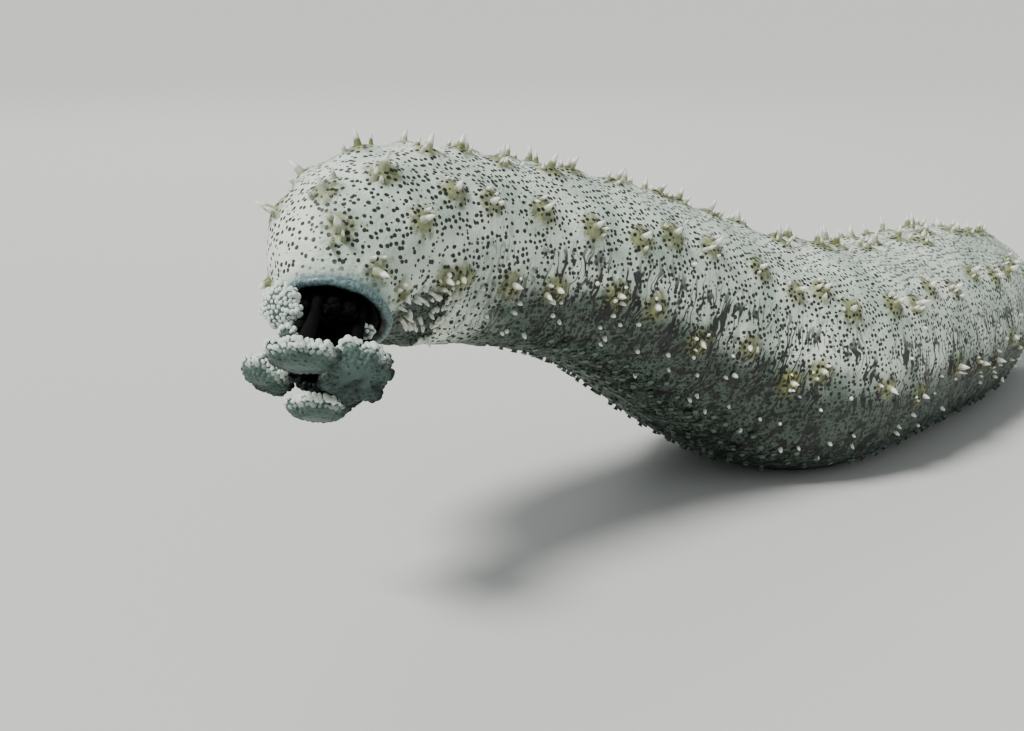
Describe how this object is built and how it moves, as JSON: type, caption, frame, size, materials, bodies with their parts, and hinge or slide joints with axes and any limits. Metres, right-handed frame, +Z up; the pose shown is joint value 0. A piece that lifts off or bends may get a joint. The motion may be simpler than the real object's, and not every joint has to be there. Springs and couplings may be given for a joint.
{
  "type": "sea cucumber",
  "caption": "Black-spotted sea cucumber lying on its sole with its front third reared and bent down, feeding tentacles spread round the mouth.",
  "frame": {"origin": "on the floor, on the flat sole under the middle of the part that lies down", "axes": "+X from the mouth towards the tail end, +Z up from the sole to the back, +Y to the animal's right"},
  "size_m": [0.4209, 0.112, 0.131],
  "materials": {
    "skin": "soft wet skin, pale with black-brown dots",
    "lip": "smooth wet skin",
    "mouth": "smooth wet skin",
    "tentacle": "wet, knobbly, black on the inner side"
  },
  "bodies": {
    "root": {"head": "skin", "neck": "skin", "forebody_front": "skin", "forebody_rear": "skin", "midbody_front": "skin", "midbody_rear": "skin", "hindbody": "skin", "tail_end": "skin", "mouth_lip": "lip", "mouth_floor": "mouth", "tentacle_01": "tentacle", "tentacle_02": "tentacle", "tentacle_03": "tentacle", "tentacle_04": "tentacle", "tentacle_05": "tentacle", "tentacle_06": "tentacle", "tentacle_07": "tentacle", "tentacle_08": "tentacle", "tentacle_09": "tentacle", "tentacle_10": "tentacle", "tentacle_11": "tentacle", "tentacle_12": "tentacle", "tentacle_13": "tentacle", "tentacle_14": "tentacle", "tentacle_15": "tentacle", "tentacle_16": "tentacle", "tentacle_17": "tentacle", "tentacle_18": "tentacle", "tentacle_19": "tentacle"}
  },
  "joints": []
}
